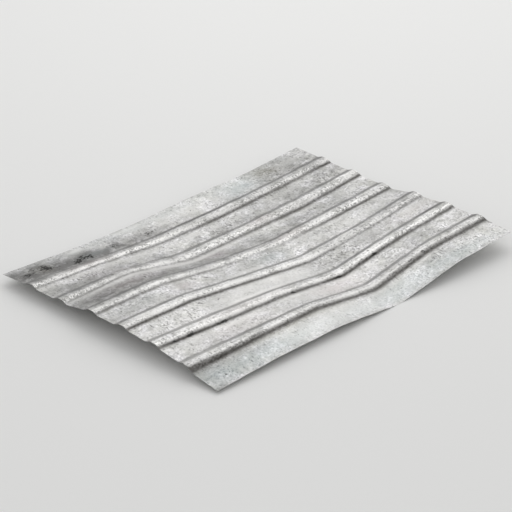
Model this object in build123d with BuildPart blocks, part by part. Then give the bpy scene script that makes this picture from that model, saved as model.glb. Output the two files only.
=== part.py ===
from build123d import *
import os

# One corrugated sheet, cold-rolled from a flat strip of galvanised steel. Sizes in mm.
# +X runs along the ribs to the far end, +Y across them to the back edge, and the floor is Z = 0.
length = 1500
thickness = 0.7
pitch = 158
# From the middle of an outer rib to the side edge beside it.
lap = 153
rib_base = 70
rib_crest = 26
rib_height = 10
foot_radius = 4
crest_radius = 20

# The sheet has been bent across at four folds, a fifth of its length apart, and twisted between them.
# bend_rise is how high the strip between the ribs stands over the floor where it is highest.
# Each row is one line of that strip, in hundredths of bend_rise: at the near end, the four folds
# and the far end. A rib has two rows, for its back foot and its front foot.
bend_rise = 73.5
back_edge = (52, 31, 22, 41, 42, 70)
ribs = [
    ((62, 29, 15, 21, 36, 66), (62, 47, 15, 18, 37, 65)),
    ((62, 58, 9, 11, 32, 62), (64, 79, -1, 10, 16, 62)),
    ((83, 87, 33, 4, 32, 58), (89, 90, 39, 12, 31, 57)),
    ((89, 88, 39, 1, 26, 77), (91, 86, 44, -1, 36, 86)),
    ((83, 70, 44, -1, 55, 95), (79, 59, 47, 1, 63, 98)),
    ((63, 54, 48, -1, 73, 99), (40, 53, 55, 3, 83, 100)),
]
front_edge = (18, 36, 37, -2, 71, 94)

width = pitch * (len(ribs) - 1) + 2 * lap
span_count = len(back_edge) - 1
fold_gap = length / span_count
# Each fold is rounded over this length either way, which is also the distance between two sections.
bend_run = fold_gap / 8


def straight(row, x):
    """Height of one line at x from the near end, straight from fold to fold."""
    span = min(max(int(x // fold_gap), 0), span_count - 1)
    share = x / fold_gap - span
    return bend_rise / 100 * (row[span] + (row[span + 1] - row[span]) * share)


def height(row, x):
    """The same line with its folds rounded."""
    return (straight(row, x - bend_run) + 4 * straight(row, x) + straight(row, x + bend_run)) / 6


def underside(x):
    """Corners of the sheet's underside at x, from the back edge to the front edge."""
    corners = [(width / 2, height(back_edge, x))]
    for i, (back_row, front_row) in enumerate(ribs):
        middle = width / 2 - lap - i * pitch
        back = height(back_row, x)
        front = height(front_row, x)
        crest = (back + front) / 2 + rib_height
        lean = (back - front) / 2 * rib_crest / rib_base
        corners.append((middle + rib_base / 2, back))
        corners.append((middle + rib_crest / 2, crest + lean))
        corners.append((middle - rib_crest / 2, crest - lean))
        corners.append((middle - rib_base / 2, front))
    corners.append((-width / 2, height(front_edge, x)))
    return corners


stations = [i * bend_run for i in range(round(length / bend_run) + 1)]
lowest = min(z for x in stations for y, z in underside(x))
radii = [foot_radius, crest_radius, crest_radius, foot_radius] * len(ribs)

with BuildPart() as corrugated_sheet:
    for x in stations:
        with BuildSketch(Plane.YZ.offset(x - length / 2)):
            with BuildLine():
                FilletPolyline(*[(y, z - lowest) for y, z in underside(x)], radius=radii)
                offset(amount=thickness, side=Side.RIGHT)
            make_face()
    loft()

corrugated_sheet.part.label = "corrugated_sheet"
os.makedirs("parts", exist_ok=True)
export_step(corrugated_sheet.part, "parts/corrugated_sheet.step")
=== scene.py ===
import math
import bpy
import numpy as np
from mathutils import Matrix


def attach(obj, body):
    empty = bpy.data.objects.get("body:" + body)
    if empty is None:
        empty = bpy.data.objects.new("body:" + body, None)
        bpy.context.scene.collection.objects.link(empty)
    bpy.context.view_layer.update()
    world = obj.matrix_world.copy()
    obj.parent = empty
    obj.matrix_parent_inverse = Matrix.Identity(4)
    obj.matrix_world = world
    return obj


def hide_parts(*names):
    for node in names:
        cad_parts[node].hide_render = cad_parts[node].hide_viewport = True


# A weathered galvanised corrugated sheet, bent and lying loose on the floor.
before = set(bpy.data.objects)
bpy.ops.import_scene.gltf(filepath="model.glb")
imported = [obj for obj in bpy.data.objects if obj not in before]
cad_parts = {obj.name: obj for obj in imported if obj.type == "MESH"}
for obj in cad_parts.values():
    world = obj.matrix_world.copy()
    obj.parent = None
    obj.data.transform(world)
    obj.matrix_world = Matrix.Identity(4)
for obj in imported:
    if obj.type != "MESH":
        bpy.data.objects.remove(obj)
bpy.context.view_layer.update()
scene = bpy.context.scene

# The sheet, in mm. Heights are the lines and folds of the CAD source, in hundredths of bendRise.
sheet = {
    "length": 1500,
    "thickness": 0.7,
    "pitch": 158,
    "lap": 153,
    "ribBase": 70,
    "ribCrest": 26,
    "ribHeight": 10,
    "cornerRun": 3.5,  # each bend of the section is rounded over this far either way
    "cornerSteps": 5,  # in this many steps
    "foldRun": 37.5,  # and each fold across the sheet is rounded over this far
    "bendRise": 73.5,
    "backEdge": (52, 31, 22, 41, 42, 70),
    "ribs": [  # the back foot and the front foot of each, from the back of the sheet
        ((62, 29, 15, 21, 36, 66), (62, 47, 15, 18, 37, 65)),
        ((62, 58, 9, 11, 32, 62), (64, 79, -1, 10, 16, 62)),
        ((83, 87, 33, 4, 32, 58), (89, 90, 39, 12, 31, 57)),
        ((89, 88, 39, 1, 26, 77), (91, 86, 44, -1, 36, 86)),
        ((83, 70, 44, -1, 55, 95), (79, 59, 47, 1, 63, 98)),
        ((63, 54, 48, -1, 73, 99), (40, 53, 55, 3, 83, 100)),
    ],
    "frontEdge": (18, 36, 37, -2, 71, 94),
    "rippleCount": 14,  # thin sheet never lies quite flat: soft ripples this many ways
    "rippleLengths": (75, 200),
    "rippleDepth": 0.55,
    "rippleSeed": 4,
    "stepAlong": 7.5,  # mesh spacing along the ribs
    "stepPan": 8,  # and across the flat pans
    "stepRib": 3.4,  # and across the ribs
    "sharpAngle": 50,  # degrees: keeps the cut edges crisp
    "dirtAndShadeBelow": 0.3,  # the underside's share of the listed dirt, wear, painted shade and painted highlights
    "wearAndShadeBelow": 0.15,  # and of the bands along the ribs: painted shade on the back flanks, rubbed wear and painted highlight on the crests
}
halfWidth = sheet["pitch"] * (len(sheet["ribs"]) - 1) / 2 + sheet["lap"]
halfLength = sheet["length"] / 2


def lineHeight(row, x):
    # height of one line at x from the near end, its folds rounded by a mean of three places
    places = np.linspace(0, sheet["length"], len(row))
    heights = np.array(row, float)
    padded = np.concatenate([[2 * heights[0] - heights[1]], heights, [2 * heights[-1] - heights[-2]]])
    ends = np.concatenate([[places[0] - places[1]], places, [places[-1] + places[1]]])
    weights = {-sheet["foldRun"]: 1, 0: 4, sheet["foldRun"]: 1}
    mixed = sum(weight * np.interp(x + step, ends, padded) for step, weight in weights.items())
    return mixed / sum(weights.values()) * sheet["bendRise"] / 100


def ripples(x, y):
    # the height that crossing soft waves add over the sheet
    chance = np.random.default_rng(sheet["rippleSeed"])
    along, across = np.meshgrid(x, y)
    height = np.zeros(along.shape)
    for _ in range(sheet["rippleCount"]):
        turn, start = chance.uniform(0, 2 * math.pi, 2)
        wave = chance.uniform(*sheet["rippleLengths"])
        height += np.sin((along * math.cos(turn) + across * math.sin(turn)) * 2 * math.pi / wave + start)
    return height * sheet["rippleDepth"] / math.sqrt(sheet["rippleCount"])


def sectionCorners(x):
    # the corners of the section from back to front, each with its heights along the sheet
    cornerY, cornerZ = [halfWidth], [lineHeight(sheet["backEdge"], x)]
    for i, (backRow, frontRow) in enumerate(sheet["ribs"]):
        middle = halfWidth - sheet["lap"] - i * sheet["pitch"]
        back, front = lineHeight(backRow, x), lineHeight(frontRow, x)
        crest = (back + front) / 2 + sheet["ribHeight"]
        lean = (back - front) / 2 * sheet["ribCrest"] / sheet["ribBase"]
        cornerY += [middle + width / 2 for width in (sheet["ribBase"], sheet["ribCrest"])]
        cornerY += [middle - width / 2 for width in (sheet["ribCrest"], sheet["ribBase"])]
        cornerZ += [back, crest + lean, crest - lean, front]
    cornerY.append(-halfWidth)
    cornerZ.append(lineHeight(sheet["frontEdge"], x))
    return np.array(cornerY), np.array(cornerZ) - np.min(cornerZ)


def meshRows(cornerY):
    # places of the mesh rows across the sheet
    y = []
    for a, b in zip(cornerY[:-1], cornerY[1:]):
        if a - b < sheet["ribBase"]:
            y += list(np.linspace(a, b, round((a - b) / sheet["stepRib"]) + 1)[:-1])
        else:  # a pan has a close row beside each bend, so that the bend stays crisp
            steps = round((a - b) / sheet["stepPan"])
            y += [a] + list(np.linspace(a - sheet["cornerRun"], b + sheet["cornerRun"], steps))
    return np.array(y + [-halfWidth])


def sheetGrid():
    # the mesh's places along and across, and the height of the underside where they cross
    x = np.linspace(0, sheet["length"], round(sheet["length"] / sheet["stepAlong"]) + 1)
    cornerY, cornerZ = sectionCorners(x)
    y = meshRows(cornerY)
    z = np.zeros((len(y), len(x)))
    for shift in np.linspace(-1, 1, sheet["cornerSteps"]) * sheet["cornerRun"]:  # rounds every bend
        at = np.clip(y + shift, -halfWidth, halfWidth)
        z += np.array([np.interp(-at, -cornerY, column) for column in cornerZ.T]).T / sheet["cornerSteps"]
    z[0], z[-1] = cornerZ[0], cornerZ[-1]
    z = np.clip(z + ripples(x, y), z.min(), z.max())
    return x - halfLength, y, z


def sheetMesh(name, x, y, z):
    # the top skin, the underside one thickness below it, and the four cut edges between them
    along, across = np.meshgrid(x, y)
    slopeX, slopeY = np.gradient(z, x, axis=1), np.gradient(z, y, axis=0)
    under = np.stack([along, across, z], -1)
    up = np.stack([-slopeX, -slopeY, np.ones_like(z)], -1)
    top = under + up / np.linalg.norm(up, axis=-1, keepdims=True) * sheet["thickness"]
    top[:, 0, 0], top[:, -1, 0] = x[0], x[-1]
    t, u = np.arange(z.size * 2).reshape(2, *z.shape)  # the numbers of the top's points and the underside's
    faces = [
        np.stack([t[:-1, :-1], t[1:, :-1], t[1:, 1:], t[:-1, 1:]], -1),
        np.stack([u[:-1, :-1], u[:-1, 1:], u[1:, 1:], u[1:, :-1]], -1),
        np.stack([t[0, :-1], t[0, 1:], u[0, 1:], u[0, :-1]], -1),
        np.stack([u[-1, :-1], u[-1, 1:], t[-1, 1:], t[-1, :-1]], -1),
        np.stack([u[:-1, 0], u[1:, 0], t[1:, 0], t[:-1, 0]], -1),
        np.stack([t[:-1, -1], t[1:, -1], u[1:, -1], u[:-1, -1]], -1),
    ]
    verts = np.concatenate([top.reshape(-1, 3), under.reshape(-1, 3)]) / 1000
    mesh = bpy.data.meshes.new(name)
    mesh.from_pydata(verts.tolist(), [], np.concatenate([f.reshape(-1, 4) for f in faces]).tolist())
    mesh.shade_smooth()
    mesh.set_sharp_from_angle(angle=math.radians(sheet["sharpAngle"]))
    return bpy.data.objects.new(name, mesh)


gridX, gridY, gridZ = sheetGrid()
corrugatedSkin = sheetMesh("corrugatedSkin", gridX, gridY, gridZ)
scene.collection.objects.link(corrugatedSkin)
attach(corrugatedSkin, "root")
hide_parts("corrugated_sheet")
print("sheet made:", len(corrugatedSkin.data.polygons), "faces")

# Soft patches where the sheet is dull, worn or dirty, among them painted shade and painted highlights, in
# mm from its middle:
# x, y, reach along, reach across and strength. Each list runs from back to front, with a new line for each
# rib and each pan.
soilingAndPaintedLight = {
    # smooth grey patina in the hollows, with painted shade where the sheet turns away from the light
    "dullAndShade": [
        (-690, 455, 120, 13, 0.45), (-680, 480, 200, 80, 1.35), (-606, 492, 26, 34, 0.4),
        (-480, 454, 140, 8, 0.25), (-450, 466, 60, 26, 0.35), (-420, 458, 180, 46, 1.1),
        (-190, 448, 160, 34, 0.85), (-180, 490, 40, 20, 0.2), (-60, 455, 120, 12, 0.2),
        (-60, 490, 60, 14, 0.15), (420, 480, 120, 50, 0.25), (480, 455, 100, 10, 0.2),
        (600, 490, 160, 60, 0.5),
        (-580, 386, 130, 9, 0.25), (-560, 403, 300, 14, 0.7), (-420, 382, 40, 7, 0.3),
        (-390, 385, 24, 12, 0.4), (-200, 403, 200, 14, 0.35), (30, 382, 60, 7, 0.2),
        (60, 384, 160, 10, 0.2), (60, 398, 100, 14, 0.3), (100, 416, 150, 11, 0.7), (215, 382, 50, 7, 0.25),
        (250, 382, 220, 9, 0.3), (360, 412, 260, 11, 0.3), (500, 384, 200, 12, 0.2),
        (560, 400, 220, 16, 0.35), (710, 382, 70, 9, 0.3), (740, 408, 50, 14, 0.55),
        (-700, 300, 130, 30, 0.45), (-530, 315, 80, 34, 0.15), (-510, 290, 70, 14, 0.35),
        (-400, 310, 100, 34, 0.15), (-380, 286, 70, 10, 0.2), (-170, 284, 70, 24, 0.35),
        (178, 290, 60, 14, 0.75), (450, 300, 330, 40, 0.35), (720, 325, 60, 40, 0.4),
        (-560, 248, 260, 12, 0.65), (-540, 276, 230, 34, 0.6), (-480, 218, 40, 8, 0.5),
        (-350, 226, 220, 11, 0.3), (-350, 240, 250, 9, 0.2), (-225, 224, 70, 9, 0.25),
        (-200, 248, 160, 12, 0.45), (130, 248, 70, 9, 0.25), (225, 224, 70, 9, 0.25),
        (250, 220, 60, 9, 0.45), (465, 225, 60, 7, 0.7), (700, 226, 80, 12, 0.4), (740, 262, 40, 12, 0.9),
        (-745, 140, 40, 34, 0.4), (-610, 140, 200, 60, 1.05), (-560, 142, 100, 12, 0.25),
        (-380, 150, 90, 40, 0.25), (-220, 138, 40, 20, 0.25), (-80, 138, 50, 16, 0.25),
        (80, 128, 70, 12, 0.35), (300, 150, 100, 24, 0.15), (440, 138, 70, 14, 0.35),
        (-620, 69, 40, 7, 0.3), (-330, 92, 360, 13, 0.6), (-330, 125, 180, 48, 0.6),
        (-225, 66, 70, 9, 0.35), (-220, 65, 60, 9, 0.25), (-95, 75, 18, 16, 0.65),
        (-20, 125, 170, 48, 0.55), (60, 84, 100, 12, 0.2), (75, 67, 80, 9, 0.3), (250, 112, 180, 34, 0.4),
        (375, 65, 60, 9, 0.25), (390, 94, 70, 10, 0.45), (675, 69, 50, 9, 0.5),
        (-700, -15, 120, 40, 0.3), (-420, 12, 60, 14, 0.25), (-320, -16, 60, 16, 0.6),
        (75, -10, 60, 30, 0.25), (180, 0, 46, 30, 0.35), (400, -27, 120, 14, 0.25),
        (-735, -78, 60, 16, 0.55), (-600, -92, 150, 9, 0.25), (-375, -93, 60, 9, 0.25),
        (-330, -63, 130, 9, 0.6), (60, -62, 90, 12, 0.35), (80, -34, 90, 14, 0.25),
        (230, -80, 120, 14, 0.2), (300, -90, 120, 12, 0.3), (330, -98, 60, 9, 0.3), (400, -92, 80, 9, 0.2),
        (420, -64, 200, 8, 0.2), (525, -93, 60, 9, 0.2), (560, -94, 80, 12, 0.15),
        (580, -80, 220, 14, 0.25), (690, -92, 60, 10, 0.4), (745, -60, 40, 14, 0.8),
        (-620, -142, 100, 20, 0.25), (-380, -136, 120, 14, 0.25), (160, -150, 70, 40, 0.3),
        (330, -160, 140, 40, 0.25),
        (30, -228, 70, 18, 0.4), (330, -218, 80, 8, 0.4), (645, -210, 60, 12, 0.95),
        (745, -222, 40, 18, 0.6),
        (-745, -335, 50, 24, 0.45), (-500, -342, 50, 10, 0.2), (-220, -332, 70, 16, 0.25),
        (260, -325, 60, 26, 0.2), (400, -343, 80, 10, 0.25), (480, -320, 120, 30, 0.2),
        (745, -310, 40, 34, 0.35),
        (-690, -406, 60, 9, 0.4), (-320, -384, 80, 8, 0.25), (-140, -384, 60, 8, 0.2),
        (-30, -392, 60, 16, 0.35), (60, -440, 50, 14, 0.2), (310, -390, 80, 9, 0.45),
        (470, -383, 140, 8, 0.3), (560, -393, 160, 12, 0.15), (742, -374, 50, 13, 1.0),
        (-720, -500, 110, 60, 0.55), (-630, -454, 60, 22, 0.5), (-470, -480, 60, 14, 0.3),
        (560, -450, 120, 14, 0.2),
    ],
    # worn paler, with painted highlights among them
    "paleAndHighlight": [
        (-690, 520, 60, 16, 0.5), (-430, 524, 60, 18, 1.6), (-150, 532, 80, 14, 1.0),
        (-60, 490, 200, 45, 0.5), (40, 500, 180, 40, 0.3), (100, 475, 40, 24, 0.5),
        (320, 480, 120, 30, 0.6), (650, 492, 60, 14, 0.9),
        (-600, 348, 230, 12, 0.8), (-440, 335, 90, 20, 0.6), (-270, 334, 40, 16, 1.1),
        (-140, 340, 160, 24, 0.3), (-20, 335, 50, 16, 0.8), (85, 325, 40, 30, 0.7), (200, 320, 60, 12, 0.4),
        (330, 310, 60, 30, 0.3), (460, 328, 70, 16, 0.6),
        (-600, 222, 90, 7, 0.8), (-560, 194, 160, 12, 1.5), (-440, 194, 60, 9, 0.7),
        (100, 194, 160, 10, 1.0), (370, 218, 60, 7, 0.8), (590, 218, 60, 7, 0.7),
        (-285, 187, 50, 9, 1.0), (-210, 190, 220, 14, 1.9), (-160, 183, 60, 11, 2.0),
        (400, 188, 120, 12, 0.7), (600, 165, 60, 24, 0.4),
        (-725, 69, 60, 9, 1.2), (-550, 68, 60, 8, 0.5), (-370, 60, 60, 8, 0.9), (-360, 36, 50, 12, 0.5),
        (190, 92, 40, 14, 0.7), (260, 70, 70, 34, 0.3), (400, 39, 240, 8, 0.6),
        (-530, -25, 60, 16, 0.4), (-300, 5, 330, 30, 0.2), (-150, 10, 60, 20, 0.3),
        (-110, -30, 130, 14, 1.0), (290, -15, 30, 20, 0.6), (420, -5, 200, 30, 0.25),
        (550, -10, 160, 30, 0.5), (706, 20, 36, 20, 0.6),
        (-640, -84, 60, 8, 0.8), (-640, -55, 160, 12, 0.15), (-185, -87, 70, 11, 2.2),
        (-130, -125, 70, 14, 0.6), (110, -104, 50, 8, 0.6), (250, -80, 30, 10, 0.4),
        (-700, -170, 70, 16, 0.9), (-560, -176, 60, 14, 0.4), (-350, -150, 120, 40, 0.1),
        (-240, -150, 220, 45, 1.1), (20, -150, 140, 45, 1.2), (420, -135, 70, 26, 0.7),
        (660, -142, 90, 26, 0.8),
        (-660, -212, 110, 11, 2.3), (-380, -254, 140, 8, 1.6), (-350, -213, 200, 14, 1.0),
        (-200, -232, 160, 6, 0.6), (-200, -192, 240, 10, 1.1), (-120, -254, 120, 8, 1.5),
        (140, -244, 60, 10, 0.5),
        (-600, -290, 50, 22, 0.9), (-560, -320, 160, 45, 0.4), (-390, -345, 70, 12, 0.6),
        (-390, -292, 90, 14, 1.3), (-120, -285, 130, 12, 0.8), (-60, -320, 190, 40, 0.9),
        (20, -320, 140, 40, 0.4), (140, -288, 60, 12, 0.8), (480, -285, 90, 14, 0.6),
        (680, -310, 70, 40, 0.4),
        (-640, -374, 120, 9, 2.0), (-440, -403, 90, 7, 1.0), (-140, -405, 90, 7, 1.4),
        (140, -406, 80, 8, 1.8), (230, -372, 140, 9, 0.9), (640, -375, 50, 10, 0.6),
        (645, -404, 30, 7, 1.0),
        (-460, -446, 50, 10, 0.5), (-200, -495, 250, 55, 1.1), (-60, -450, 120, 14, 0.5),
        (120, -490, 160, 50, 0.6), (150, -445, 60, 12, 0.6), (390, -442, 60, 10, 1.0),
        (400, -520, 140, 16, 0.4), (480, -480, 40, 12, 0.5),
    ],
    # clusters of dark deposit
    "blotches": [
        (-690, 472, 34, 18, 1.0), (-650, 500, 20, 14, 0.5), (-606, 484, 28, 32, 1.0),
        (-560, 470, 30, 16, 0.5), (-478, 452, 24, 14, 1.0), (-446, 470, 38, 16, 0.95),
        (-412, 456, 20, 14, 0.9), (-290, 470, 24, 14, 0.8), (-130, 462, 26, 18, 0.6),
        (-92, 470, 16, 14, 0.4), (525, 498, 30, 26, 0.4),
        (-535, 325, 22, 18, 0.5), (105, 300, 30, 24, 0.35),
        (-420, 145, 16, 14, 0.8),
        (240, 92, 12, 7, 0.8),
        (-552, 22, 16, 12, 0.6),
        (-430, -135, 16, 10, 0.5), (-345, -142, 12, 20, 0.6),
        (150, -300, 14, 9, 0.4),
        (-658, -496, 14, 18, 0.5), (-96, -512, 24, 10, 0.4),
    ],
    # fainter ones of fine grey flecks, fewer than elsewhere where the strength is negative
    "flecks": [
        (-640, 478, 90, 26, 0.7), (-440, 462, 60, 16, 0.8), (-300, 474, 40, 18, 1.0),
        (-130, 475, 60, 26, 0.9), (200, 490, 60, 30, 0.3), (530, 490, 60, 50, 1.0),
        (-560, 365, 160, 30, -0.4),
        (-560, 318, 70, 20, 0.5), (-560, 330, 60, 30, 0.7), (-60, 345, 80, 40, -0.5),
        (105, 300, 80, 40, 1.0), (450, 330, 80, 30, 0.7), (650, 300, 70, 34, 0.9),
        (-350, 150, 110, 40, 0.6), (450, 160, 80, 30, 0.4),
        (560, 85, 100, 16, 0.4), (640, 45, 70, 18, 0.7),
        (-600, 20, 90, 22, 0.6), (-250, 20, 70, 18, 0.7), (370, 0, 36, 30, 0.9),
        (-640, -170, 60, 34, 0.6), (-520, -170, 70, 36, 0.7), (-430, -135, 30, 16, 0.8),
        (160, -150, 50, 36, 1.0), (280, -160, 80, 40, 0.9),
        (-350, -340, 50, 30, 0.4), (-60, -320, 60, 20, 0.5), (30, -335, 24, 14, 0.8),
        (300, -310, 130, 40, -0.4), (350, -320, 60, 30, 0.5),
        (-250, -395, 160, 14, 0.3),
        (-650, -500, 30, 26, 0.9), (-480, -466, 40, 24, 0.9), (-96, -512, 40, 16, 0.8),
        (430, -450, 60, 24, 0.7), (520, -505, 60, 26, 0.8),
    ],
    # dirt with painted shade along the front foot of each rib and at a few back feet, and painted shade on
    # the front flanks of the last two
    "feetDirtAndShade": [
        (-600, 366, 400, 5, 0.45), (-500, 365, 150, 6, 0.2), (-200, 363, 200, 7, 0.3),
        (60, 419, 230, 9, 0.45), (80, 418, 80, 9, 0.2), (120, 364, 120, 7, 0.2), (300, 373, 400, 5, 0.12),
        (340, 365, 460, 8, 0.88), (740, 365, 60, 7, 0.3), (760, 365, 150, 8, 0.4),
        (-600, 208, 260, 5, 0.45), (-520, 207, 120, 6, 0.2), (-120, 209, 200, 5, 0.3),
        (380, 207, 460, 8, 0.9), (690, 261, 60, 9, 0.25), (760, 207, 150, 8, 0.5),
        (-660, 50, 340, 7, 0.75), (-240, 50, 200, 6, 0.3), (-160, 49, 160, 6, 0.15), (0, 55, 500, 5, 0.08),
        (540, 50, 320, 7, 0.92), (760, 50, 100, 7, 0.25),
        (-700, -108, 90, 6, 0.2), (-560, -108, 420, 8, 0.95), (40, -108, 380, 7, 0.75),
        (75, -55, 70, 9, 0.4), (690, -55, 60, 9, 0.25), (700, -108, 260, 7, 0.5),
        (-640, -267, 280, 7, 0.92), (-640, -259, 130, 7, 0.25), (-300, -252, 180, 4, -0.1),
        (-120, -268, 380, 8, 0.78), (120, -268, 60, 6, 0.3), (300, -259, 130, 7, 0.25),
        (460, -266, 400, 9, 0.82), (650, -211, 60, 9, 0.4), (690, -213, 60, 9, 0.4),
        (745, -212, 30, 10, 0.2), (760, -266, 120, 9, 0.45),
        (-760, -412, 160, 8, 0.6), (-750, -385, 40, 10, 0.25), (-620, -438, 180, 16, 0.25),
        (-620, -424, 320, 9, 0.75), (-600, -414, 50, 6, 0.15), (-580, -434, 200, 5, 0.1),
        (-500, -413, 420, 8, 0.16), (-210, -415, 260, 8, 0.3), (-90, -425, 380, 9, 0.8),
        (250, -414, 60, 7, 0.15), (300, -411, 120, 8, 0.12), (320, -395, 90, 8, 0.12),
        (460, -413, 280, 8, 0.38), (460, -411, 150, 7, 0.12), (500, -425, 380, 9, 0.85),
        (690, -371, 50, 9, 0.25), (700, -425, 70, 8, 0.12), (740, -418, 120, 10, 0.35),
        (745, -374, 40, 10, 0.4),
    ],
    # thick black knots caught in it
    "caught": [
        (665, 370, 14, 4, 0.6),
        (-530, -108, 30, 5, 0.5), (-230, -108, 60, 5, 0.5), (120, -106, 14, 5, 0.5),
        (-676, -266, 12, 6, 1.3), (-600, -265, 22, 6, 1.5), (-455, -267, 26, 5, 1.1),
        (-190, -262, 30, 4, 0.6), (-108, -267, 17, 6, 1.5), (126, -267, 26, 5, 1.3), (238, -262, 9, 4, 1.3),
        (306, -264, 30, 5, 1.35), (500, -262, 9, 5, 1.1),
        (-620, -422, 60, 6, 0.7), (-500, -424, 40, 6, 0.5), (-300, -419, 14, 7, 1.0),
        (400, -412, 240, 7, 0.4), (430, -421, 30, 6, 0.5), (700, -418, 24, 5, 0.6),
    ],
    # faint casts of blue-green, olive and pink
    "cool": [
        (-390, 465, 80, 20, 0.3), (-100, 525, 600, 26, 0.25), (370, 485, 90, 50, 0.8),
        (-560, 10, 140, 30, 0.15), (60, 0, 80, 30, 0.5),
        (-690, -480, 80, 60, 0.4), (-450, -500, 260, 45, 0.75), (150, -510, 260, 36, 0.6),
        (220, -470, 160, 24, 0.4), (520, -515, 180, 30, 0.6),
    ],
    "olive": [
        (-620, 480, 40, 40, 0.5), (525, 500, 60, 40, 0.8),
        (-60, 385, 120, 14, 0.4),
        (-330, -436, 300, 14, 0.8),
    ],
    "pink": [
        (-480, 395, 130, 26, 0.35),
        (-525, 315, 70, 30, 0.2),
        (-430, 260, 60, 20, 0.5), (225, 237, 70, 20, 0.4),
        (-450, 158, 150, 30, 0.35), (-75, 158, 60, 30, 0.5),
        (225, 79, 70, 20, 0.4),
        (-375, 0, 60, 30, 0.45),
        (620, -160, 120, 40, 0.25),
        (-300, -237, 200, 20, 0.25),
        (-440, -320, 140, 40, 0.35), (60, -320, 110, 45, 0.6),
    ],
}
spotX, spotY = np.meshgrid(gridX, gridY)
for name, places in soilingAndPaintedLight.items():
    amount = sum(
        strength * np.exp(-((spotX - x) / alongReach) ** 2 - ((spotY - y) / acrossReach) ** 2)
        for x, y, alongReach, acrossReach, strength in places).ravel()
    bothSides = np.concatenate([amount, amount * sheet["dirtAndShadeBelow"]])
    layer = corrugatedSkin.data.attributes.new(name, "FLOAT", "POINT")
    layer.data.foreach_set("value", bothSides.astype(np.float32))
wearAndShadeShare = corrugatedSkin.data.attributes.new("wearAndShadeShare", "FLOAT", "POINT")
wearAndShadeShare.data.foreach_set("value", np.repeat([1.0, sheet["wearAndShadeBelow"]], gridZ.size).astype(np.float32))


def linear(hexColour):
    # an sRGB hex colour as the linear one that Blender's sockets take
    parts = [int(hexColour[i:i + 2], 16) / 255 for i in (1, 3, 5)]
    return [p / 12.92 if p <= 0.04045 else ((p + 0.055) / 1.055) ** 2.4 for p in parts] + [1]


def addNode(tree, kind, settings=None, inputs=None):
    # one node with its settings; an input is a value or the output that feeds it
    node = tree.nodes.new(kind)
    for key, value in (settings or {}).items():
        setattr(node, key, value)
    for key, value in (inputs or {}).items():
        if isinstance(value, bpy.types.NodeSocket):
            tree.links.new(value, node.inputs[key])
        else:
            node.inputs[key].default_value = value
    return node


def newMaterial(name):
    material = bpy.data.materials.new(name)
    material.use_nodes = True
    material.node_tree.nodes.clear()
    return material, material.node_tree


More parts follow.
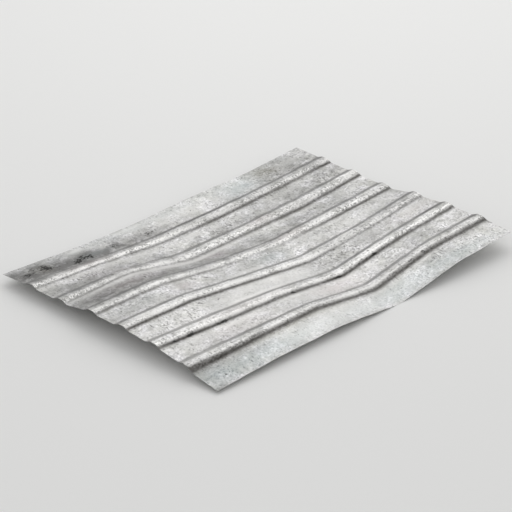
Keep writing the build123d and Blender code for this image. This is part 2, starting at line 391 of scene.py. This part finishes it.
# Hot-dip galvanised steel, years outdoors: zinc carbonate has dulled the spangle to a soft cloudy grey,
# the rib crests are rubbed bright under a painted highlight, and dirt with painted shade lies along the rib
# feet, with painted shade on the back flanks and in tilted hollows.
galvanised = {
    "zinc": "#B2B2B0",
    "zincPale": "#E0DFDD",
    # dull patina, and also the paint of painted shade on back flanks and tilted pans
    "zincDullAndShade": "#6E6D6B",
    # pale wear, and also the paint of painted highlights
    "wornAndHighlight": "#E4E3E0",
    # rubbed bright, and also the crests' painted highlight
    "rubbedAndHighlight": "#F8F7F4",
    "speck": "#63615E",
    # dirt at the rib feet, and also the paint of painted shade there
    "footDirtAndShade": "#45423E",
    "blackDirt": "#22211D",
    "coolCast": "#B7C8CA",
    "oliveCast": "#8F8B74",
    "pinkCast": "#D3BFC0",
    "metallic": 0.7,  # less than clean zinc, under its skin of carbonate; the black dirt has none
    "roughness": 0.46,
    "roughnessSwing": (-0.06, 0.08),  # how far the mottling moves it
    "dirtRoughness": 0.4,  # how much rougher the black dirt is
    "cloudSize": 120,  # mm, the patches of patina
    "castSize": 60,  # mm, the faint bluish and yellowish areas
    "mottleSize": 38,  # mm, the mottling within the patches
    "curlSize": 30,  # mm, how far the thin curled strokes of old wash marks run before they turn
    "spangleSize": 11,  # mm, the width of one crystal
    "rubAndHighlightSize": 9,  # mm, the streaks of rubbed shine and painted highlight on the crests
    "knotSize": 8.5,  # mm, the knots of dark deposit
    "fleckSize": 6.5,  # mm, the grey flecks
    "grainSize": 6.5,  # mm, the finest mottling; a real one is nearer 3 mm, too fine to show here
    "drawnOut": 1.5,  # how much longer mottling, curls, knots and grains are along the ribs than across
    "runAcross": 2.2,  # and how much longer flecks are across the ribs, the way the water ran
    "mottleTone": (0.82, 1.15),  # how dark and how light the mottling makes the zinc
    "crystalTone": (0.94, 1.04),  # and each crystal
    "grittiness": (0.6, 1.5),  # how much the grain shows in the smoothest places and in the roughest
    "blueShare": (0.975, 1.025),  # the blue in the yellowish areas and in the bluish ones
    "mottleBump": (0.3, 1.2),  # strength, and depth in mm
    "grainBump": (0.25, 0.6),
    # marks that a noise makes: its value where they start and are full, and the most that they cover
    "flecks": (0.58, 0.69, 0.85),
    "curls": (0.54, 0.42, 0.8),
    "knots": (0.69, 0.79, 0.94),
    "curlWidth": 0.03,  # how far the noise that bends the curls strays within a stroke
    "fleckCrowd": 0.1,  # how far a listed place raises the noise that makes flecks
    "knotCrowd": 0.31,  # and the noise that makes knots
    "rubbedClean": 0.7,  # the share of flecks and strokes that a rubbed crest has lost
    "bandSway": 2.5,  # mm, how far the bands along a rib stray to either side
    # those bands, in mm: the middle, from the rib's own and positive towards the back, half width and fade
    # the back-foot band is painted shade on the back flank of each rib; the crest and top bands carry
    # rubbed wear and a painted highlight
    "ribBands": {"backFlankShade": (24, 7, 11), "crest": (-16, 5, 9), "top": (-4, 9, 12)},
    "rubAndHighlightPatch": 0.06,  # how far the clouds move the noise of the shine and painted highlight, which makes it patchy
    # rubbed shine with a painted highlight on the crests, and dull gaps in it: band, paint, the noise where
    # it starts and is full, the most
    "rubbingAndHighlight": [
        ("crest", "zincDullAndShade", 0.47, 0.4, 0.6),
        ("crest", "rubbedAndHighlight", 0.43, 0.52, 0.98),
        ("top", "rubbedAndHighlight", 0.43, 0.54, 0.4),
    ],
    # soft layers from the lowest: where it lies, paint, strength and spread
    "layers": [
        # worn paler, with painted highlights
        ("paleAndHighlight", "wornAndHighlight", 0.55, "uneven"),
        # patina, with painted shade
        ("dullAndShade", "zincDullAndShade", 0.7, "uneven"),
        # painted shade on the back flank of each rib
        ("backFlankShade", "zincDullAndShade", 0.53, "steady"),
        ("cool", "coolCast", 0.3, "steady"),
        ("pink", "pinkCast", 0.3, "uneven"),
        ("olive", "oliveCast", 0.3, "uneven"),
        # dirt, with painted shade, at the rib feet and on the front flanks of the last two ribs
        ("feetDirtAndShade", "footDirtAndShade", 0.92, "gritty"),
    ],
    # how much of a layer lies where its noise is low, and where it is high
    "spreads": {"uneven": (1.3, 0.6), "steady": (1.2, 0.8), "gritty": (1.08, 0.92)},
}
galvanisedSteel, steel = newMaterial("galvanisedSteel")
place = addNode(steel, "ShaderNodeTexCoord").outputs["Object"]
placeMm = addNode(steel, "ShaderNodeVectorMath", {"operation": "SCALE"}, {
    0: place, "Scale": 1000}).outputs[0]
placeDrawn = addNode(steel, "ShaderNodeVectorMath", {"operation": "MULTIPLY"}, {
    0: placeMm, 1: (1 / galvanised["drawnOut"], 1, 1)}).outputs[0]
placeAcross = addNode(steel, "ShaderNodeVectorMath", {"operation": "MULTIPLY"}, {
    0: placeMm, 1: (1, 1 / galvanised["runAcross"], 1)}).outputs[0]

# the noises that several parts of the finish share
clouds = addNode(steel, "ShaderNodeTexNoise", {}, {
    "Vector": placeMm, "Scale": 1 / galvanised["cloudSize"], "Detail": 5.0, "Roughness": 0.62})
castNoise = addNode(steel, "ShaderNodeTexNoise", {}, {
    "Vector": placeMm, "Scale": 1 / galvanised["castSize"], "Detail": 3.0, "Roughness": 0.6})
mottle = addNode(steel, "ShaderNodeTexNoise", {}, {
    "Vector": placeDrawn, "Scale": 1 / galvanised["mottleSize"],
    "Detail": 5.0, "Roughness": 0.68, "Distortion": 0.6})
grain = addNode(steel, "ShaderNodeTexNoise", {}, {
    "Vector": placeDrawn, "Scale": 1 / galvanised["grainSize"], "Detail": 1.5, "Roughness": 0.6})

# where things lie: the listed places, and bands along each rib, but not at the edges where no rib is
masks = {
    name: addNode(steel, "ShaderNodeAttribute", {"attribute_name": name}).outputs["Fac"]
    for name in soilingAndPaintedLight}
across = addNode(steel, "ShaderNodeSeparateXYZ", {}, {0: placeMm}).outputs["Y"]
sway = addNode(steel, "ShaderNodeMath", {"operation": "MULTIPLY_ADD"}, {
    0: mottle.outputs[0], 1: 2 * galvanised["bandSway"], 2: -galvanised["bandSway"]})
swayed = addNode(steel, "ShaderNodeMath", {"operation": "ADD"}, {0: across, 1: sway.outputs[0]})
wrapped = addNode(steel, "ShaderNodeMath", {"operation": "WRAP"}, {
    0: swayed.outputs[0], 1: sheet["pitch"], 2: 0.0})
fromRib = addNode(steel, "ShaderNodeMath", {"operation": "SUBTRACT"}, {
    0: wrapped.outputs[0], 1: sheet["pitch"] / 2})
outward = addNode(steel, "ShaderNodeMath", {"operation": "ABSOLUTE"}, {0: across})
amongRibs = addNode(steel, "ShaderNodeMath", {"operation": "LESS_THAN"}, {
    0: outward.outputs[0], 1: halfWidth - sheet["lap"] / 2})
# the underside takes less of the rib bands: painted shade, rubbed wear and painted highlight
wearAndShade = addNode(steel, "ShaderNodeAttribute", {"attribute_name": "wearAndShadeShare"})
bandHere = addNode(steel, "ShaderNodeMath", {"operation": "MULTIPLY"}, {
    0: amongRibs.outputs[0], 1: wearAndShade.outputs["Fac"]})
for name, (middle, core, fade) in galvanised["ribBands"].items():
    away = addNode(steel, "ShaderNodeMath", {"operation": "SUBTRACT"}, {0: fromRib.outputs[0], 1: middle})
    far = addNode(steel, "ShaderNodeMath", {"operation": "ABSOLUTE"}, {0: away.outputs[0]})
    band = addNode(steel, "ShaderNodeMapRange", {"interpolation_type": "SMOOTHSTEP"}, {
        "Value": far.outputs[0], "From Min": core + fade, "From Max": core, "To Min": 0.0, "To Max": 1.0})
    masks[name] = addNode(steel, "ShaderNodeMath", {"operation": "MULTIPLY"}, {
        0: band.outputs[0], 1: bandHere.outputs[0]}).outputs[0]

# bare zinc: cloudy, each crystal a little lighter or darker, smooth in some places and gritty in others,
# and faintly bluish or yellowish
cloudRamp = addNode(steel, "ShaderNodeMapRange", {}, {
    "Value": clouds.outputs[0], "From Min": 0.36, "From Max": 0.64})
zincColour = addNode(steel, "ShaderNodeMix", {"data_type": "RGBA"}, {
    0: cloudRamp.outputs[0], 6: linear(galvanised["zinc"]), 7: linear(galvanised["zincPale"])})
spangle = addNode(steel, "ShaderNodeTexVoronoi", {}, {
    "Vector": placeMm, "Scale": 1 / galvanised["spangleSize"]})
crystal = addNode(steel, "ShaderNodeSeparateColor", {}, {0: spangle.outputs["Color"]})
darkest, lightest = galvanised["crystalTone"]
crystalTone = addNode(steel, "ShaderNodeMapRange", {}, {
    "Value": crystal.outputs[0], "To Min": darkest, "To Max": lightest})
smooth, rough = galvanised["grittiness"]
grainStrength = addNode(steel, "ShaderNodeMapRange", {}, {
    "Value": castNoise.outputs[0], "From Min": 0.4, "From Max": 0.6, "To Min": smooth, "To Max": rough})
grainAway = addNode(steel, "ShaderNodeMath", {"operation": "SUBTRACT"}, {0: grain.outputs[0], 1: 0.5})
grainTone = addNode(steel, "ShaderNodeMath", {"operation": "MULTIPLY_ADD"}, {
    0: grainAway.outputs[0], 1: grainStrength.outputs[0], 2: 1.0})
darkest, lightest = galvanised["mottleTone"]
mottleTone = addNode(steel, "ShaderNodeMapRange", {}, {
    "Value": mottle.outputs[0], "From Min": 0.33, "From Max": 0.67, "To Min": darkest, "To Max": lightest})
fineTone = addNode(steel, "ShaderNodeMath", {"operation": "MULTIPLY"}, {
    0: crystalTone.outputs[0], 1: grainTone.outputs[0]})
tone = addNode(steel, "ShaderNodeMath", {"operation": "MULTIPLY"}, {
    0: fineTone.outputs[0], 1: mottleTone.outputs[0]})
toned = addNode(steel, "ShaderNodeVectorMath", {"operation": "SCALE"}, {
    0: zincColour.outputs[2], "Scale": tone.outputs[0]})
yellowish, bluish = galvanised["blueShare"]
blueShare = addNode(steel, "ShaderNodeMapRange", {}, {
    "Value": castNoise.outputs[0], "From Min": 0.35, "From Max": 0.65,
    "To Min": yellowish, "To Max": bluish})
castMix = addNode(steel, "ShaderNodeCombineXYZ", {}, {"X": 1.0, "Y": 1.0, "Z": blueShare.outputs[0]})
bareZinc = addNode(steel, "ShaderNodeVectorMath", {"operation": "MULTIPLY"}, {
    0: toned.outputs[0], 1: castMix.outputs[0]})

# the coats over it, each with its share and paint: first the rubbed crests with their painted highlight,
# bright in grains and patches
coats = []
rubAndHighlightNoise = addNode(steel, "ShaderNodeTexNoise", {}, {
    "Vector": placeMm, "Scale": 1 / galvanised["rubAndHighlightSize"],
    "Detail": 3.0, "Roughness": 0.85, "Distortion": 0.4})
rubAndHighlightPatch = addNode(steel, "ShaderNodeMapRange", {}, {
    "Value": clouds.outputs[0], "From Min": 0.38, "From Max": 0.62,
    "To Min": -galvanised["rubAndHighlightPatch"], "To Max": galvanised["rubAndHighlightPatch"]})
rubAndHighlightSum = addNode(steel, "ShaderNodeMath", {"operation": "ADD"}, {
    0: rubAndHighlightNoise.outputs[0], 1: rubAndHighlightPatch.outputs[0]})
for band, paint, start, full, most in galvanised["rubbingAndHighlight"]:
    rubAndHighlightGrain = addNode(steel, "ShaderNodeMapRange", {}, {
        "Value": rubAndHighlightSum.outputs[0], "From Min": start, "From Max": full, "To Min": 0.0, "To Max": most})
    rubbedAndHighlight = addNode(steel, "ShaderNodeMath", {"operation": "MULTIPLY"}, {
        0: masks[band], 1: rubAndHighlightGrain.outputs[0]})
    coats.append((rubbedAndHighlight.outputs[0], paint))

# fine grey flecks all over, crowded where they are listed, and thinned where the strength is negative
fleckNoise = addNode(steel, "ShaderNodeTexNoise", {}, {
    "Vector": placeAcross, "Scale": 1 / galvanised["fleckSize"],
    "Detail": 2.0, "Roughness": 0.6, "Distortion": 0.5})
fleckSum = addNode(steel, "ShaderNodeMath", {"operation": "MULTIPLY_ADD"}, {
    0: masks["flecks"], 1: galvanised["fleckCrowd"], 2: fleckNoise.outputs[0]})
start, full, most = galvanised["flecks"]
flecks = addNode(steel, "ShaderNodeMapRange", {}, {
    "Value": fleckSum.outputs[0], "From Min": start, "From Max": full, "To Min": 0.0, "To Max": most})

# thin curled strokes, where one slow noise crosses its middle and the mottling is low
curlNoise = addNode(steel, "ShaderNodeTexNoise", {}, {
    "Vector": placeDrawn, "Scale": 1 / galvanised["curlSize"],
    "Detail": 3.0, "Roughness": 0.6, "Distortion": 1.0})
curlAway = addNode(steel, "ShaderNodeMath", {"operation": "SUBTRACT"}, {0: curlNoise.outputs[0], 1: 0.5})
curlFar = addNode(steel, "ShaderNodeMath", {"operation": "ABSOLUTE"}, {0: curlAway.outputs[0]})
curlLine = addNode(steel, "ShaderNodeMapRange", {}, {
    "Value": curlFar.outputs[0], "From Min": 0.0, "From Max": galvanised["curlWidth"],
    "To Min": 1.0, "To Max": 0.0})
start, full, most = galvanised["curls"]
curlWhere = addNode(steel, "ShaderNodeMapRange", {}, {
    "Value": mottle.outputs[0], "From Min": start, "From Max": full, "To Min": 0.0, "To Max": most})
curls = addNode(steel, "ShaderNodeMath", {"operation": "MULTIPLY"}, {
    0: curlLine.outputs[0], 1: curlWhere.outputs[0]})

# few flecks or strokes are left in the crest band, which is rubbed and painted bright
markShare = addNode(steel, "ShaderNodeMath", {"operation": "MAXIMUM"}, {
    0: flecks.outputs[0], 1: curls.outputs[0]})
unrubbed = addNode(steel, "ShaderNodeMath", {"operation": "MULTIPLY_ADD"}, {
    0: masks["crest"], 1: -galvanised["rubbedClean"], 2: 1.0})
marks = addNode(steel, "ShaderNodeMath", {"operation": "MULTIPLY"}, {
    0: markShare.outputs[0], 1: unrubbed.outputs[0]})
coats.append((marks.outputs[0], "speck"))

# over them the soft layers of patina, wear, dust, painted shade and painted highlights, uneven with the
# mottling or gritty with the grain
spreads = {}
for name, (low, high) in galvanised["spreads"].items():
    noise = grain if name == "gritty" else mottle
    spreads[name] = addNode(steel, "ShaderNodeMapRange", {}, {
        "Value": noise.outputs[0], "From Min": 0.35, "From Max": 0.65, "To Min": low, "To Max": high})
for where, paint, strength, spread in galvanised["layers"]:
    spreadMask = addNode(steel, "ShaderNodeMath", {"operation": "MULTIPLY"}, {
        0: masks[where], 1: spreads[spread].outputs[0]})
    layerShare = addNode(steel, "ShaderNodeMath", {"operation": "MULTIPLY", "use_clamp": True}, {
        0: spreadMask.outputs[0], 1: strength})
    coats.append((layerShare.outputs[0], paint))

# and last the dark deposit, in knots
knotNoise = addNode(steel, "ShaderNodeTexNoise", {}, {
    "Vector": placeDrawn, "Scale": 1 / galvanised["knotSize"],
    "Detail": 2.0, "Roughness": 0.6, "Distortion": 0.5})
deposit = addNode(steel, "ShaderNodeMath", {"operation": "MAXIMUM"}, {
    0: masks["blotches"], 1: masks["caught"]})
depositSum = addNode(steel, "ShaderNodeMath", {"operation": "MULTIPLY_ADD"}, {
    0: deposit.outputs[0], 1: galvanised["knotCrowd"], 2: knotNoise.outputs[0]})
start, full, most = galvanised["knots"]
dirt = addNode(steel, "ShaderNodeMapRange", {}, {
    "Value": depositSum.outputs[0], "From Min": start, "From Max": full, "To Min": 0.0, "To Max": most})
coats.append((dirt.outputs[0], "blackDirt"))

# the coats laid one over another
colour = bareZinc.outputs[0]
for share, paint in coats:
    colour = addNode(steel, "ShaderNodeMix", {"data_type": "RGBA"}, {
        0: share, 6: colour, 7: linear(galvanised[paint])}).outputs[2]

# a satin metal, a little uneven, that the black dirt makes rough and dull
smoothest, roughest = [galvanised["roughness"] + swing for swing in galvanised["roughnessSwing"]]
mottleRoughness = addNode(steel, "ShaderNodeMapRange", {}, {
    "Value": mottle.outputs[0], "From Min": 0.3, "From Max": 0.7, "To Min": smoothest, "To Max": roughest})
roughness = addNode(steel, "ShaderNodeMath", {"operation": "MULTIPLY_ADD", "use_clamp": True}, {
    0: dirt.outputs[0], 1: galvanised["dirtRoughness"], 2: mottleRoughness.outputs[0]})
metallic = addNode(steel, "ShaderNodeMapRange", {}, {
    "Value": dirt.outputs[0], "To Min": galvanised["metallic"], "To Max": 0.0})
strength, depth = galvanised["grainBump"]
grainBump = addNode(steel, "ShaderNodeBump", {}, {
    "Height": grain.outputs[0], "Strength": strength, "Distance": depth / 1000})
strength, depth = galvanised["mottleBump"]
mottleBump = addNode(steel, "ShaderNodeBump", {}, {
    "Height": mottle.outputs[0], "Strength": strength, "Distance": depth / 1000,
    "Normal": grainBump.outputs[0]})
steelShader = addNode(steel, "ShaderNodeBsdfPrincipled", {}, {
    "Base Color": colour, "Metallic": metallic.outputs[0], "Roughness": roughness.outputs[0],
    "Normal": mottleBump.outputs[0]})
addNode(steel, "ShaderNodeOutputMaterial", {}, {"Surface": steelShader.outputs[0]})
corrugatedSkin.data.materials.append(galvanisedSteel)
print("steel ready:", len(steel.nodes), "nodes")

# The studio: a pale floor, a wide soft lamp above and behind, a weaker one by the camera, and an even sky.
studio = {
    "floorColour": "#EEEEEC",
    "floorRoughness": 0.9,
    "floorReach": 14,  # metres from the middle to each side
    "skyColour": "#EAEAEB",
    "skyStrength": 0.82,
    "lamps": {
        "topLamp": {"place": (2.6, 2.0, 4.0), "size": 6.0, "power": 75},
        "cameraLamp": {"place": (-2.5, -3.5, 3.0), "size": 3.0, "power": 6},
    },
    "cameraPlace": (-5.5304, -5.4948, 4.0296),
    "cameraTurn": (62.899, -0.118, -44.999),  # degrees
    "cameraReach": 100,  # metres, how far it sees
    "lens": 170.7,  # mm, on a sensor this wide
    "sensorWidth": 36,
}
reach = studio["floorReach"]
floorCorners = [(-reach, -reach, 0), (reach, -reach, 0), (reach, reach, 0), (-reach, reach, 0)]
floorMesh = bpy.data.meshes.new("studioFloor")
floorMesh.from_pydata(floorCorners, [], [(0, 1, 2, 3)])
studioFloor = bpy.data.objects.new("studioFloor", floorMesh)
scene.collection.objects.link(studioFloor)
paintedFloor, floorTree = newMaterial("paintedFloor")
floorShader = addNode(floorTree, "ShaderNodeBsdfPrincipled", {}, {
    "Base Color": linear(studio["floorColour"]), "Roughness": studio["floorRoughness"]})
addNode(floorTree, "ShaderNodeOutputMaterial", {}, {"Surface": floorShader.outputs[0]})
studioFloor.data.materials.append(paintedFloor)

world = bpy.data.worlds.new("studioSky")
scene.world = world
world.use_nodes = True
world.node_tree.nodes.clear()
sky = addNode(world.node_tree, "ShaderNodeBackground", {}, {
    "Color": linear(studio["skyColour"]), "Strength": studio["skyStrength"]})
addNode(world.node_tree, "ShaderNodeOutputWorld", {}, {"Surface": sky.outputs[0]})

for name, values in studio["lamps"].items():
    lamp = bpy.data.lights.new(name, "AREA")
    lamp.shape = "DISK"
    lamp.size = values["size"]
    lamp.energy = values["power"]
    lampObject = bpy.data.objects.new(name, lamp)
    lampObject.location = values["place"]
    x, y, z = values["place"]
    lampObject.rotation_euler = (math.atan2(math.hypot(x, y), z), 0, math.atan2(y, x) + math.pi / 2)
    scene.collection.objects.link(lampObject)

cameraData = bpy.data.cameras.new("photoCamera")
cameraData.lens = studio["lens"]
cameraData.sensor_width = studio["sensorWidth"]
cameraData.clip_end = studio["cameraReach"]
photoCamera = bpy.data.objects.new("photoCamera", cameraData)
photoCamera.location = studio["cameraPlace"]
photoCamera.rotation_euler = [math.radians(a) for a in studio["cameraTurn"]]
scene.collection.objects.link(photoCamera)
scene.camera = photoCamera
scene.view_settings.view_transform = "Standard"
print("studio ready")
